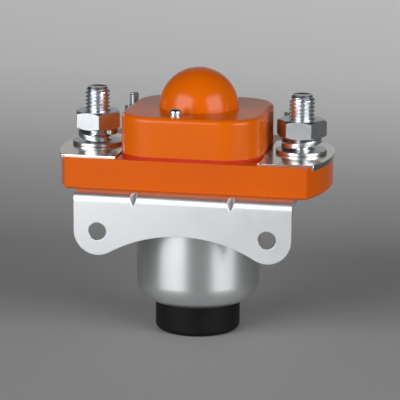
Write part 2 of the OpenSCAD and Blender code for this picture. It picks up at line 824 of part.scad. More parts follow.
module plunger() {
    color(iron) difference() {
        translate([0, 0, plunger_z]) cylinder(d = plunger_d, h = plunger_l);
        translate([0, 0, shaft_z]) cylinder(d = shaft_d, h = shaft_socket + overlap);
        translate([0, 0, plunger_z - overlap]) cylinder(d = spring_bore_d, h = spring_bore_depth + overlap);
    }
}

module plunger_shaft() {
    color(zinc) {
        translate([0, 0, shaft_z]) cylinder(d = shaft_d, h = shaft_top - shaft_z);
        translate([0, 0, collar_top - collar_t]) cylinder(d = collar_d, h = collar_t);
    }
}

module spring_retainer() {
    color(zinc) translate([0, 0, retainer_z]) ring(retainer_d, shaft_d, retainer_t);
}

module shaft_nut() {
    color(zinc) translate([0, 0, retainer_z + retainer_t]) hex_nut(shaft_nut_s, shaft_nut_h, shaft_d);
}

module return_spring() {
    low = core_top - spring_bore_depth;
    high = plunger_z + spring_bore_depth;
    color(iron) translate([0, 0, low])
        coil_spring(return_spring_r, return_wire_d, high - low, return_spring_turns);
}

module fixed_core() {
    color(iron) difference() {
        union() {
            translate([0, 0, can_floor_z]) cylinder(d = plunger_d, h = core_top - can_floor_z);
            translate([0, 0, tail_z]) cylinder(d = tail_d, h = can_floor_z - tail_z);
        }
        translate([0, 0, core_top - spring_bore_depth])
            cylinder(d = spring_bore_d, h = spring_bore_depth + overlap);
    }
}

module guide_tube() {
    color(brass) translate([0, 0, bobbin_flange_z])
        ring(2*tube_out_r, 2*tube_in_r, plunger_top - bobbin_flange_z);
}

module bobbin() {
    foot_r = bobbin_out_r + bobbin_flange_t;
    color(cream) difference() {
        union() {
            translate([0, 0, can_floor_z]) cylinder(r = foot_r, h = bobbin_flange_z - can_floor_z);
            translate([0, 0, bobbin_flange_z]) cylinder(r = bobbin_flange_r, h = bobbin_flange_t);
            translate([0, 0, winding_z]) cylinder(r = bobbin_out_r, h = winding_top - winding_z);
            translate([0, 0, winding_top]) cylinder(r = bobbin_flange_r, h = bobbin_flange_t);
        }
        translate([0, 0, can_floor_z - overlap]) cylinder(r = bobbin_in_r, h = can_h);
        for (side = [-1, 1])
            translate([side*lead_x, lead_y, winding_top - overlap])
                cylinder(d = lead_d + loose_fit, h = bobbin_flange_t + 2*overlap);
    }
}

module coil_winding() {
    color(copper) translate([0, 0, winding_z]) ring(2*winding_r, 2*bobbin_out_r, winding_top - winding_z);
}

module coil_lead(side) {
    bend_z = base_z + channel_h/2;
    color(black) mirror([side < 0 ? 1 : 0, 0, 0]) translate([lead_x, lead_y, 0]) {
        translate([0, 0, winding_top]) cylinder(d = lead_d, h = bend_z - winding_top);
        translate([0, 0, bend_z]) sphere(d = lead_d);
        translate([0, 0, bend_z]) rotate([0, 90, lead_bearing])
            cylinder(d = lead_d, h = lead_run_l - coil_head_s/2/cos(30));
    }
}

// Moving contacts

module contact_bridge() {
    color(copper) translate([0, 0, bridge_z]) difference() {
        translate([-bridge_l/2, -bridge_w/2, 0]) cube([bridge_l, bridge_w, bridge_t]);
        translate([0, 0, -overlap]) cylinder(d = insulator_d, h = bridge_t + 2*overlap);
    }
}

module bridge_tips() {
    color(silver) for (side = [-1, 1])
        translate([side*contact_x, 0, bridge_tip_z]) cylinder(d = tip_d, h = bridge_tip_h);
}

module bridge_insulator() {
    color(cream) translate([0, 0, bridge_z - insulator_flange_t]) difference() {
        union() {
            cylinder(d = insulator_flange_d, h = insulator_flange_t);
            cylinder(d = insulator_d, h = insulator_flange_t + bridge_t);
        }
        translate([0, 0, -overlap])
            cylinder(d = shaft_d + 2*sliding_fit, h = bridge_t + 2*insulator_flange_t);
    }
}

module insulator_washer() {
    color(cream) translate([0, 0, bridge_z + bridge_t])
        ring(insulator_flange_d, shaft_d + 2*sliding_fit, insulator_flange_t);
}

module contact_spring() {
    color(iron) translate([0, 0, spring_seat_z])
        coil_spring(contact_spring_r, contact_wire_d, contact_spring_h, contact_spring_turns);
}

base();
base_screws();
cover();
cover_gasket();
cover_screws();
mounting_bracket();
coil_can();
end_cap();
cap_retainer();
core_lock_washer();
core_nut();
fixed_core();
guide_tube();
bobbin();
coil_winding();
coil_lead(-1);  // coil_lead_left
coil_lead(1);  // coil_lead_right
coil_stud(-1);  // coil_stud_left
coil_stud(1);  // coil_stud_right
coil_washer(-1);  // coil_washer_left
coil_washer(1);  // coil_washer_right
coil_nut(-1);  // coil_nut_left
coil_nut(1);  // coil_nut_right
terminal_plate(-1);  // terminal_plate_left
terminal_plate(1);  // terminal_plate_right
terminal_stud(-1);  // terminal_stud_left
terminal_stud(1);  // terminal_stud_right
flat_washer(-1);  // flat_washer_left
flat_washer(1);  // flat_washer_right
spring_washer(-1);  // spring_washer_left
spring_washer(1);  // spring_washer_right
terminal_nut(-1);  // terminal_nut_left
terminal_nut(1);  // terminal_nut_right
fixed_contact(-1);  // fixed_contact_left
fixed_contact(1);  // fixed_contact_right
shaft_bush();
plunger();
plunger_shaft();
spring_retainer();
shaft_nut();
return_spring();
contact_bridge();
bridge_tips();
bridge_insulator();
insulator_washer();
contact_spring();
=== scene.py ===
# %% [markdown]
# # A direct current power contactor
# The object is an orange moulded base with a domed cover, two power studs, a coil in a drawn can and a folded
# bracket. Its solids come ready from the construction model. This script gives them their finishes, softens
# their edges, cuts real threads and winds real springs, all in the same frame and in metres: +Z is up, the
# studs lie along X and the bracket faces -Y.

# %% Load the solids
import json
import math
import bmesh
import bpy
from mathutils import Matrix, Vector

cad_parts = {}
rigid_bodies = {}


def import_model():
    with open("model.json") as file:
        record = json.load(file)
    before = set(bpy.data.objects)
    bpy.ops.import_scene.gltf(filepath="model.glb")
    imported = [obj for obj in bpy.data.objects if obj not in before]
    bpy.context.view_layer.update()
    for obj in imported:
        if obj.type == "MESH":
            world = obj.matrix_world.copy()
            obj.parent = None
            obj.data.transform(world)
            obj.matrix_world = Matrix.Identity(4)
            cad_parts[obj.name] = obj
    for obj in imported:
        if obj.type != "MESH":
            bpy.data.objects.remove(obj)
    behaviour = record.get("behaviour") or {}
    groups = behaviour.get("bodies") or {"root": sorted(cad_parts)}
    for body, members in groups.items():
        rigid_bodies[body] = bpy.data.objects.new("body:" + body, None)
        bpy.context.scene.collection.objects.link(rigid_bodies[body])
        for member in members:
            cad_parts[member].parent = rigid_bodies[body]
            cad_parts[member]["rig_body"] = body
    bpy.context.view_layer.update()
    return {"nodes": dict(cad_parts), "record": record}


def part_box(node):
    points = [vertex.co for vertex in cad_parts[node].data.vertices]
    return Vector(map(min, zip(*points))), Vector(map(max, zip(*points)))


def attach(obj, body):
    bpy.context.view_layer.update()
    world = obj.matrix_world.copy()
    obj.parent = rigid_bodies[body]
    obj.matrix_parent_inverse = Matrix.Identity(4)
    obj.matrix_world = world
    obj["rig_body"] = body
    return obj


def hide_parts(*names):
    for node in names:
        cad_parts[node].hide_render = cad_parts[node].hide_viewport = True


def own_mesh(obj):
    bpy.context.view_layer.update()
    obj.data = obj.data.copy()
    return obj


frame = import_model()
MM = 0.001
nodes = frame["nodes"]

# %% [markdown]
# ## The camera
# A product photograph is taken from a good distance with a long lens, so that upright edges stay nearly
# parallel. The camera could be aimed with a constraint, but a matrix made from its own right, up and back
# directions also holds the small roll that a hand-set tripod leaves.

# %% Camera
AZIMUTH = math.radians(11.36)
ELEVATION = math.radians(12.94)
ROLL = math.radians(0.375)
DISTANCE = 0.81393
TARGET = Vector((0.00062, 0.0, 0.05202))
SENSOR_WIDTH_MM = 36.0
FOCAL_LENGTH_MM = 184.2

back = Vector((math.sin(AZIMUTH) * math.cos(ELEVATION), -math.cos(AZIMUTH) * math.cos(ELEVATION),
               math.sin(ELEVATION)))
level_right = Vector((0, 0, 1)).cross(back).normalized()
level_up = back.cross(level_right)
right = level_right * math.cos(ROLL) + level_up * math.sin(ROLL)
up = level_up * math.cos(ROLL) - level_right * math.sin(ROLL)

lens = bpy.data.cameras.new("portrait_lens")
lens.sensor_width = SENSOR_WIDTH_MM
lens.lens = FOCAL_LENGTH_MM
camera = bpy.data.objects.new("portrait_camera", lens)
turned_to_target = Matrix((right, up, back)).transposed().to_4x4()
camera.matrix_world = Matrix.Translation(TARGET + back * DISTANCE) @ turned_to_target
bpy.context.scene.collection.objects.link(camera)
bpy.context.scene.camera = camera
print("camera stands at", [round(v, 3) for v in camera.location])

# %% [markdown]
# ## Floor and backdrop
# The object stands on a sheet of plain paper that curves up behind it. Two planes would do for floor and
# wall, but they would meet in a visible corner. One strip swept along a profile (flat, a quarter turn,
# upright) has none.

# %% Paper sweep
def linked(name, mesh):
    """A new object with this mesh, in the scene."""
    piece = bpy.data.objects.new(name, mesh)
    bpy.context.scene.collection.objects.link(piece)
    return piece


def paper_sweep(half_width=2.2, front=-2.0, bend_start=0.28, bend_radius=0.75, top=1.1, bend_steps=24):
    """A strip of paper: a flat floor, a quarter turn and an upright wall."""
    profile = [(front, 0.0), (bend_start, 0.0)]
    for step in range(1, bend_steps + 1):
        turn = math.radians(90 * step / bend_steps)
        profile.append((bend_start + bend_radius * math.sin(turn), bend_radius * (1 - math.cos(turn))))
    profile.append((bend_start + bend_radius, top))
    verts = [(x, y, z) for y, z in profile for x in (-half_width, half_width)]
    faces = [(2 * i, 2 * i + 1, 2 * i + 3, 2 * i + 2) for i in range(len(profile) - 1)]
    mesh = bpy.data.meshes.new("paper_sweep")
    mesh.from_pydata(verts, [], faces)
    mesh.shade_smooth()
    return linked("paper_sweep", mesh)


sweep = paper_sweep()
print("paper sweep:", len(sweep.data.polygons), "faces")

# %% [markdown]
# ## Painted light and shade on the paper
# Behind the object the paper's grey is painted light and at its foot darker, and painted shade fades it to
# both sides of a wedge that opens towards the back. More lamps could light it so, but they would also shine
# on the object. So the light and shade are painted into the grey: a ramp along Y paints them from front to
# back, and the slope away from the middle line paints the shade at the sides. Metal picks the painted dark
# sides up at its edges. Three small helpers keep this and all later node trees short.

# %% Helpers for node trees
def feed(tree, node, inputs):
    """Fills inputs, by name or number: an output socket is linked, anything else is a plain value."""
    for key, value in inputs.items():
        if isinstance(value, bpy.types.NodeSocket):
            tree.links.new(value, node.inputs[key])
        else:
            node.inputs[key].default_value = value


def new_node(tree, kind, inputs=None, **settings):
    """A new node in the tree. Its settings come first, because they decide which inputs it has."""
    node = tree.nodes.new(kind)
    for key, value in settings.items():
        setattr(node, key, value)
    feed(tree, node, inputs or {})
    return node


def new_material(name):
    """A material with its node tree and its shader."""
    material = bpy.data.materials.new(name)
    material.use_nodes = True
    return material, material.node_tree, material.node_tree.nodes["Principled BSDF"]


paper, paper_tree, paper_shader = new_material("grey_paper")
sweep.data.materials.append(paper)
print("material made:", paper.name)

# %% Painted light ramp from front to back
# The greys paint light and shade along Y: darker on the floor, brightest partway up the wall.
PAPER_NEAR, PAPER_FAR = -0.1, 1.3
PAINTED_LIGHT_GREYS = ((0.0, 0.29), (0.06, 0.305), (0.16, 0.31), (0.23, 0.46), (0.32, 0.69), (0.41, 0.92),
               (0.5, 1.0), (0.62, 0.92), (0.85, 0.72), (1.0, 0.72))
place = new_node(paper_tree, "ShaderNodeNewGeometry")
split = new_node(paper_tree, "ShaderNodeSeparateXYZ", {"Vector": place.outputs["Position"]})
depth = new_node(paper_tree, "ShaderNodeMapRange",
                 {"Value": split.outputs["Y"], "From Min": PAPER_NEAR, "From Max": PAPER_FAR})
painted_light_ramp = new_node(paper_tree, "ShaderNodeValToRGB", {"Fac": depth.outputs["Result"]})
while len(painted_light_ramp.color_ramp.elements) < len(PAINTED_LIGHT_GREYS):
    painted_light_ramp.color_ramp.elements.new(0.5)
for element, (stop, grey) in zip(painted_light_ramp.color_ramp.elements, PAINTED_LIGHT_GREYS):
    element.position = stop
    element.color = (grey, grey, grey, 1)
print("greys along the paper:", len(painted_light_ramp.color_ramp.elements))

# %% Painted shade in a wedge to both sides
# Painted shade: the paper's grey is dimmed to both sides of a wedge that opens from in front of the object.
WEDGE_APEX = 0.85
WEDGE_EDGE = (0.11, 0.26)
PAINTED_SHADE_DIM = 0.3
swung = new_node(paper_tree, "ShaderNodeMath",
                 {0: split.outputs["Y"], 1: math.tan(AZIMUTH), 2: split.outputs["X"]},
                 operation="MULTIPLY_ADD")
aside = new_node(paper_tree, "ShaderNodeMath", {0: swung.outputs["Value"]}, operation="ABSOLUTE")
reach = new_node(paper_tree, "ShaderNodeMath", {0: split.outputs["Y"], 1: WEDGE_APEX}, operation="ADD")
slope = new_node(paper_tree, "ShaderNodeMath",
                 {0: aside.outputs["Value"], 1: reach.outputs["Value"]}, operation="DIVIDE")
painted_shade_falloff = new_node(paper_tree, "ShaderNodeMapRange",
                   {"Value": slope.outputs["Value"], "From Min": WEDGE_EDGE[0], "From Max": WEDGE_EDGE[1],
                    "To Min": 1.0, "To Max": PAINTED_SHADE_DIM}, interpolation_type="SMOOTHSTEP")
painted_light_and_shade = new_node(paper_tree, "ShaderNodeVectorMath",
                  {0: painted_light_ramp.outputs["Color"], "Scale": painted_shade_falloff.outputs["Result"]}, operation="SCALE")
feed(paper_tree, paper_shader, {"Roughness": 0.7, "Base Color": painted_light_and_shade.outputs["Vector"]})
print("wedge opens from y =", -WEDGE_APEX, "and dims to", PAINTED_SHADE_DIM)

# %% [markdown]
# ## Light
# Two large soft boxes stand to the left and right of the camera: every round metal surface then shows two
# upright bright bands. Small lamps would leave hard spots instead. The rest of the room is dark, which gives
# the bright metal its contrast, and the plain view transform shows a colour about as it is written.

# %% Soft boxes and room
AIM = Vector((0, 0, 0.05))
ROOM_TINT = (0.02, 0.021, 0.022, 1)


def soft_box(name, bearing, distance, centre_z, width, height, watts):
    """A panel that faces the object; bearing is in degrees from -Y towards +X."""
    light = bpy.data.lights.new(name, "AREA")
    light.shape = "RECTANGLE"
    light.size = width
    light.size_y = height
    light.energy = watts
    lamp = bpy.data.objects.new(name, light)
    turn = math.radians(bearing)
    lamp.location = (distance * math.sin(turn), -distance * math.cos(turn), centre_z)
    lamp.rotation_euler = (AIM - lamp.location).to_track_quat("-Z", "Y").to_euler()
    bpy.context.scene.collection.objects.link(lamp)
    return lamp


lamps = [
    soft_box("left_box", bearing=-36, distance=0.95, centre_z=0.33, width=0.92, height=0.75, watts=11.3),
    soft_box("right_box", bearing=59, distance=0.95, centre_z=0.33, width=0.80, height=0.75, watts=9.2),
]
world = bpy.data.worlds.new("studio_air")
world.use_nodes = True
feed(world.node_tree, world.node_tree.nodes["Background"], {"Color": ROOM_TINT, "Strength": 1.0})
bpy.context.scene.world = world
bpy.context.scene.view_settings.view_transform = "Standard"
print("lamps:", [lamp.name for lamp in lamps])

# %% [markdown]
# ## Tone drift
# No plating or moulding has one even tone: its colour and its gloss wander a little from place to place. Each
# material could have its own noise for that. A node group is built once instead, and every finish places it
# with its own two colours, patch size and roughness. It works in object coordinates, so nothing has to be
# unwrapped.

# %% Group for tone drift
GREY = (0.5, 0.5, 0.5, 1)


def node_group(name, inputs, outputs):
    """A shader node group with its named sockets, and the two nodes that stand for them inside."""
    group = bpy.data.node_groups.new(name, "ShaderNodeTree")
    for label, kind, value in inputs:
        socket = group.interface.new_socket(label, in_out="INPUT", socket_type=kind)
        socket.default_value = value
    for label, kind in outputs:
        group.interface.new_socket(label, in_out="OUTPUT", socket_type=kind)
    return group, group.nodes.new("NodeGroupInput").outputs, group.nodes.new("NodeGroupOutput")


tone_drift, given, result = node_group(
    "Tone drift",
    [("Colour", "NodeSocketColor", GREY), ("Other Colour", "NodeSocketColor", GREY),
     ("Patches Per Metre", "NodeSocketFloat", 60.0), ("Roughness", "NodeSocketFloat", 0.3),
     ("Roughness Spread", "NodeSocketFloat", 0.05)],
    [("Colour", "NodeSocketColor"), ("Roughness", "NodeSocketFloat")])
place = new_node(tone_drift, "ShaderNodeTexCoord")
patches = new_node(tone_drift, "ShaderNodeTexNoise",
                   {"Vector": place.outputs["Object"], "Scale": given["Patches Per Metre"], "Detail": 5,
                    "Roughness": 0.6})
contrast = new_node(tone_drift, "ShaderNodeMapRange",
                    {"Value": patches.outputs["Fac"], "From Min": 0.3, "From Max": 0.7})
mixed = new_node(tone_drift, "ShaderNodeMix",
                 {"Factor": contrast.outputs["Result"], "A": given["Colour"], "B": given["Other Colour"]},
                 data_type="RGBA")
centred = new_node(tone_drift, "ShaderNodeMath",
                   {0: contrast.outputs["Result"], 1: 0.5}, operation="SUBTRACT")
spread = new_node(tone_drift, "ShaderNodeMath",
                  {0: centred.outputs["Value"], 1: given["Roughness Spread"], 2: given["Roughness"]},
                  operation="MULTIPLY_ADD")
feed(tone_drift, result, {"Colour": mixed.outputs["Result"], "Roughness": spread.outputs["Value"]})
print("group made:", tone_drift.name)

# %% [markdown]
# ## Surface ripple
# Sheet, mouldings and turned faces are never quite flat, and a reflection shows it at once. Moving the mesh
# would take very many faces, so the ripple is only a height for a Bump node. Its stretch turns plain noise
# into rolling, drawing or turning lines: a small number along an axis makes the lines long in that direction.

# %% Group for surface ripple
surface_ripple, given, result = node_group(
    "Surface ripple",
    [("Stretch", "NodeSocketVector", (1.0, 1.0, 1.0)), ("Ripples Per Metre", "NodeSocketFloat", 400.0),
     ("Detail", "NodeSocketFloat", 3.0)],
    [("Height", "NodeSocketFloat")])
place = new_node(surface_ripple, "ShaderNodeTexCoord")
stretched = new_node(surface_ripple, "ShaderNodeVectorMath",
                     {0: place.outputs["Object"], 1: given["Stretch"]}, operation="MULTIPLY")
waves = new_node(surface_ripple, "ShaderNodeTexNoise",
                 {"Vector": stretched.outputs["Vector"], "Scale": given["Ripples Per Metre"],
                  "Detail": given["Detail"]})
feed(surface_ripple, result, {"Height": waves.outputs["Fac"]})
print("group made:", surface_ripple.name)

# %% [markdown]
# ## Edge shine
# Edges are handled and rubbed, so they come out a little brighter and smoother than the faces. The renderer's
# pointiness could find them, but it depends on how finely the mesh is divided. Here the group reads a mask
# named edge, which the edge softening below leaves on the mesh, and breaks it up with noise.

# %% Group for edge shine
edge_shine, given, result = node_group(
    "Edge shine",
    [("Colour", "NodeSocketColor", GREY), ("Roughness", "NodeSocketFloat", 0.3),
     ("Edge Colour", "NodeSocketColor", GREY), ("Edge Roughness", "NodeSocketFloat", 0.2),
     ("Amount", "NodeSocketFloat", 0.5)],
    [("Colour", "NodeSocketColor"), ("Roughness", "NodeSocketFloat")])
rubbed = new_node(edge_shine, "ShaderNodeAttribute", attribute_name="edge")
place = new_node(edge_shine, "ShaderNodeTexCoord")
breaks = new_node(edge_shine, "ShaderNodeTexNoise", {"Vector": place.outputs["Object"], "Scale": 300})
mask = new_node(edge_shine, "ShaderNodeMath",
                {0: rubbed.outputs["Fac"], 1: breaks.outputs["Fac"]}, operation="MULTIPLY")
share = new_node(edge_shine, "ShaderNodeMath",
                 {0: mask.outputs["Value"], 1: given["Amount"]}, operation="MULTIPLY", use_clamp=True)
colour = new_node(edge_shine, "ShaderNodeMix",
                  {"Factor": share.outputs["Value"], "A": given["Colour"], "B": given["Edge Colour"]},
                  data_type="RGBA")
gloss = new_node(edge_shine, "ShaderNodeMix",
                 {"Factor": share.outputs["Value"], "A": given["Roughness"], "B": given["Edge Roughness"]},
                 data_type="FLOAT")
feed(edge_shine, result, {"Colour": colour.outputs["Result"], "Roughness": gloss.outputs["Result"]})
print("group made:", edge_shine.name)

# %% [markdown]
# ## Recipe for a finish
# Each finish is one shader with the three groups in front of it. Constant numbers sit on the shader itself;
# what changes over the surface comes from the groups. The finishes could be built one by one, but a single
# recipe with named values keeps them comparable: two colours to drift between, a roughness with its spread,
# a ripple with its stretch and depth, and an edge, which is a little paler and smoother if nothing else is
# said.

# %% Recipe
EDGE_GAIN = 1.15
EDGE_LIFT = 0.02
EDGE_POLISH = 0.8
finishes = {}


def finish(name, colour, other, roughness, spread=0.05, patches=60.0, metallic=0.0, ripple=400.0,
           stretch=(1, 1, 1), ripple_depth=0.01 * MM, detail=3.0, edge=None, edge_amount=0.6, shader=None):
    """A material; patches and ripple count per metre, and shader holds further values for the shader."""
    material, tree, surface = new_material(name)
    material.diffuse_color = (*colour, 1)
    edge = edge or tuple(min(1.0, EDGE_GAIN * c + EDGE_LIFT) for c in colour)
    drift = new_node(tree, "ShaderNodeGroup", {
        "Colour": (*colour, 1), "Other Colour": (*other, 1), "Patches Per Metre": patches,
        "Roughness": roughness, "Roughness Spread": spread}, node_tree=tone_drift)
    shine = new_node(tree, "ShaderNodeGroup", {
        "Colour": drift.outputs["Colour"], "Roughness": drift.outputs["Roughness"],
        "Edge Colour": (*edge, 1), "Edge Roughness": EDGE_POLISH * roughness,
        "Amount": edge_amount}, node_tree=edge_shine)
    waves = new_node(tree, "ShaderNodeGroup", {
        "Stretch": stretch, "Ripples Per Metre": ripple, "Detail": detail}, node_tree=surface_ripple)
    bump = new_node(tree, "ShaderNodeBump", {
        "Strength": 1.0, "Distance": ripple_depth, "Height": waves.outputs["Height"]})
    feed(tree, surface, {"Metallic": metallic, **(shader or {})})
    feed(tree, surface, {"Base Color": shine.outputs["Colour"], "Roughness": shine.outputs["Roughness"],
                         "Normal": bump.outputs["Normal"]})
    finishes[name] = material
    return material


print("recipe joins", [group.name for group in (tone_drift, surface_ripple, edge_shine)])

# %% [markdown]
# ## Orange mouldings
# Base and cover are glossy mouldings in a deep orange that has almost no blue in it. One flat colour would
# look like a drawing. Two near colours, a slow ripple and a clear gloss read as plastic. The index of
# refraction lies below that of common plastics, because the white boxes would otherwise wash the colour out.
# The cover has colours of its own, slightly lighter and yellower than those of the base.

# %% Orange mouldings
finish("orange_moulding", (0.555, 0.089, 0.0005), (0.515, 0.080, 0.0004), roughness=0.23, spread=0.04,
       patches=45, ripple=160, ripple_depth=0.04 * MM, detail=2, edge=(0.66, 0.13, 0.004), edge_amount=0.7,
       shader={"IOR": 1.34})
finish("orange_cover", (0.61, 0.107, 0.0006), (0.57, 0.097, 0.0005), roughness=0.23, spread=0.04,
       patches=45, ripple=160, ripple_depth=0.04 * MM, detail=2, shader={"IOR": 1.35})
print("finishes so far:", list(finishes))

# %% [markdown]
# ## Matt plastics and the gasket
# The cap under the can is black plastic with a fine texture, and of the gasket only a red edge shows. Both
# are matt. A dark colour alone would still mirror the boxes, so the roughness is higher, and a fine, fairly
# deep ripple breaks up what reflection is left. Bobbin, insulators and leads lie inside and get plain values.

# %% Matt plastics and the gasket
finish("black_cap", (0.003, 0.003, 0.0027), (0.005, 0.005, 0.0044), roughness=0.45, spread=0.1, patches=120,
       ripple=2500, ripple_depth=0.03 * MM, edge=(0.02, 0.02, 0.02), shader={"IOR": 1.25})
finish("gasket_red", (0.46, 0.026, 0.006), (0.38, 0.020, 0.005), roughness=0.6, spread=0.1, patches=300,
       ripple=1500, ripple_depth=0.03 * MM, shader={"IOR": 1.25})
finish("natural_plastic", (0.74, 0.69, 0.53), (0.68, 0.62, 0.46), roughness=0.42, ripple=900)
finish("lead_insulation", (0.02, 0.02, 0.02), (0.03, 0.03, 0.03), roughness=0.4, ripple=1200)
print("finishes so far:", len(finishes))

# %% [markdown]
# ## Zinc plated sheet
# The bracket is folded from plated sheet with a satin surface. With Metallic at one, the base colour is the
# colour of the reflection, and the roughness spreads the boxes softly over the flange. Brushed lines could
# be drawn with a texture; here the ripple is merely longer along X, the direction in which the sheet was
# rolled.

# %% Zinc plated sheet
finish("zinc_sheet", (0.80, 0.825, 0.85), (0.74, 0.765, 0.79), roughness=0.42, spread=0.08, patches=110,
       metallic=1, ripple=500, stretch=(0.4, 1, 1.6), edge=(0.88, 0.90, 0.92))
print("finishes so far:", len(finishes))

# %% [markdown]
# ## The drawn can
# The can was deep drawn and then polished while it turned. The polishing lines run round it and stretch every
# reflection upwards. Lines so fine can't be modelled or drawn at this size, so the shader's anisotropy stands
# for them, and a radial tangent about Z says which way they run.

# %% Drawn can
drawn_zinc = finish("drawn_zinc", (0.85, 0.87, 0.88), (0.835, 0.855, 0.865), roughness=0.285, spread=0.01,
                    patches=40, metallic=1, ripple=1400, ripple_depth=0.002 * MM, stretch=(0.03, 0.03, 1.0),
                    shader={"Anisotropic": 0.5, "Anisotropic Rotation": 0.25})
round_grain = new_node(drawn_zinc.node_tree, "ShaderNodeTangent", direction_type="RADIAL", axis="Z")
feed(drawn_zinc.node_tree, drawn_zinc.node_tree.nodes["Principled BSDF"],
     {"Tangent": round_grain.outputs["Tangent"]})
print("tangent runs", round_grain.direction_type, "about", round_grain.axis)

# %% [markdown]
# ## Fasteners and terminal plates
# Studs, screws and small nuts are plated bright. The large nuts and washers are plated in a turning barrel,
# where they knock against each other: they are duller, with smaller patches. The terminal plates are copper
# dipped in tin, a warm white with a wavy skin, which takes a low roughness and a long ripple. Scratches could
# be drawn on all of them, but at this size three sets of values in the one recipe tell them apart.

# %% Fasteners and terminal plates
finish("bright_zinc", (0.82, 0.85, 0.88), (0.75, 0.78, 0.82), roughness=0.25, patches=260,
       metallic=1, ripple=700, ripple_depth=0.003 * MM, edge=(0.92, 0.94, 0.96))
finish("satin_zinc", (0.66, 0.69, 0.72), (0.57, 0.60, 0.63), roughness=0.32, spread=0.08, patches=420,
       metallic=1, ripple=1600, ripple_depth=0.012 * MM, edge=(0.88, 0.90, 0.92))
finish("tinned_copper", (0.84, 0.80, 0.74), (0.76, 0.72, 0.66), roughness=0.16, spread=0.08, patches=180,
       metallic=1, ripple=260, ripple_depth=0.03 * MM, edge=(0.93, 0.91, 0.88))
print("finishes so far:", len(finishes))

# %% [markdown]
# ## Metals of the working pieces
# Inside are a copper bridge with silver tips, a winding of enamelled wire, iron for the plunger and its core,
# spring wire and turned brass. The winding has hundreds of turns. As meshes they would weigh far more than
# all the rest, so a deep ripple that is very long in X and Y and short in Z gives the turns. A shorter and
# much shallower one gives the lathe's lines on iron and brass.

# %% Metals of the working pieces
finish("copper", (0.80, 0.40, 0.25), (0.70, 0.32, 0.19), roughness=0.28, metallic=1, patches=150)
finish("winding_wire", (0.50, 0.19, 0.08), (0.42, 0.15, 0.06), roughness=0.30, metallic=1, ripple=1300,
       stretch=(0.02, 0.02, 1.0), ripple_depth=0.4 * MM)
finish("silver_alloy", (0.88, 0.87, 0.85), (0.80, 0.79, 0.77), roughness=0.30, metallic=1, ripple=1500)
finish("soft_iron", (0.40, 0.41, 0.42), (0.34, 0.345, 0.35), roughness=0.36, metallic=1, ripple=1600,
       stretch=(0.1, 0.1, 1), ripple_depth=0.02 * MM)
finish("spring_steel", (0.44, 0.45, 0.47), (0.36, 0.37, 0.39), roughness=0.28, metallic=1, ripple=1500)
finish("turned_brass", (0.78, 0.58, 0.24), (0.70, 0.51, 0.20), roughness=0.25, metallic=1, ripple=1600,
       stretch=(0.1, 0.1, 1), ripple_depth=0.02 * MM)
print("all finishes:", list(finishes))

# %% [markdown]
# ## Who wears which finish
# The construction model names a material slot for every node. Most slots have the name of their finish, and
# a small table holds the others. Some nodes look different from the rest of their slot: the polished can, the
# yellower cover, and the large nuts and washers. A line each is clearer than more slots.

# %% Dress the solids
RENAMED_SLOTS = {"zinc_fastener": "bright_zinc", "winding": "winding_wire", "brass": "turned_brass"}
SIDES = ("left", "right")
node_slot = {part["node"]: part["material_slot"] for part in frame["record"]["subparts"]}
node_finish = {name: finishes[RENAMED_SLOTS.get(slot, slot)] for name, slot in node_slot.items()}
node_finish["coil_can"] = finishes["drawn_zinc"]
node_finish["cover"] = finishes["orange_cover"]
for stacked in ("flat_washer", "spring_washer", "terminal_nut"):
    for side in SIDES:
        node_finish[f"{stacked}_{side}"] = finishes["satin_zinc"]
for name, solid in nodes.items():
    solid.data.materials.clear()
    solid.data.materials.append(node_finish[name])
print("dressed:", len(nodes), "solids in", len(set(node_finish.values())), "finishes")

# %% [markdown]
# ## The bracket's fold
# A press brake leaves the outside of a fold tighter than a plain quarter tube, and two darts pressed into it
# stiffen the flange. The fold could be modelled afresh, but it is simpler to move the points that are there.
# Seen from the fold's axis, each point keeps its direction. A point on the outside moves out to the tighter
# outline, one on the inside stays, and those between move by their share. What lies below the outside belongs
# to a dart and is pressed deeper.

# %% A tighter fold
FOLD_RADIUS = 5.0 * MM
TIGHT_RADIUS = 3.2 * MM
SHEET = 2.5 * MM
DART_GAIN = 1.45
DEEPEST_DART = 0.9 * SHEET
TIP_NEAR = 0.05 * MM
TIP_RUNOUT = 0.4 * MM
TIP_STEP = 0.02 * MM
TINY = 1e-6


def tight_outline(ahead, above):
    """Distance from the fold's axis to its tight outside, in the direction with these two parts."""
    shift = FOLD_RADIUS - TIGHT_RADIUS
    if FOLD_RADIUS * above < shift * ahead:
        return FOLD_RADIUS / ahead
    if FOLD_RADIUS * ahead < shift * above:
        return FOLD_RADIUS / above
    return shift * (ahead + above) + math.sqrt(TIGHT_RADIUS ** 2 - shift ** 2 * (1 - 2 * ahead * above))


def tighten_fold(mesh, name):
    """Draws the fold's outside out to the tight radius and deepens the darts.

    The softened tips of the darts run out a little past the fold. They are brought back to its end."""
    low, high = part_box(name)
    axis_y, axis_z = low.y + FOLD_RADIUS, high.z - FOLD_RADIUS
    for vert in mesh.verts:
        forward, lift = axis_y - vert.co.y, vert.co.z - axis_z
        if abs(forward - FOLD_RADIUS) < TIP_NEAR and -TIP_RUNOUT < lift < 0:
            vert.co.z = axis_z + TIP_STEP
        if abs(lift - FOLD_RADIUS) < TIP_NEAR and -TIP_RUNOUT < forward < 0:
            vert.co.y = axis_y - TIP_STEP
        distance = math.hypot(forward, lift)
        if min(forward, lift) < 0 or distance < TINY:
            continue
        ahead, above = forward / distance, lift / distance
        depth = FOLD_RADIUS - distance
        if depth < DEEPEST_DART:
            depth = min(depth * DART_GAIN, DEEPEST_DART)
        share = min(1.0, max(0.0, 1 - depth / SHEET))
        moved = FOLD_RADIUS - depth + share * (tight_outline(ahead, above) - FOLD_RADIUS)
        vert.co.y = axis_y - moved * ahead
        vert.co.z = axis_z + moved * above


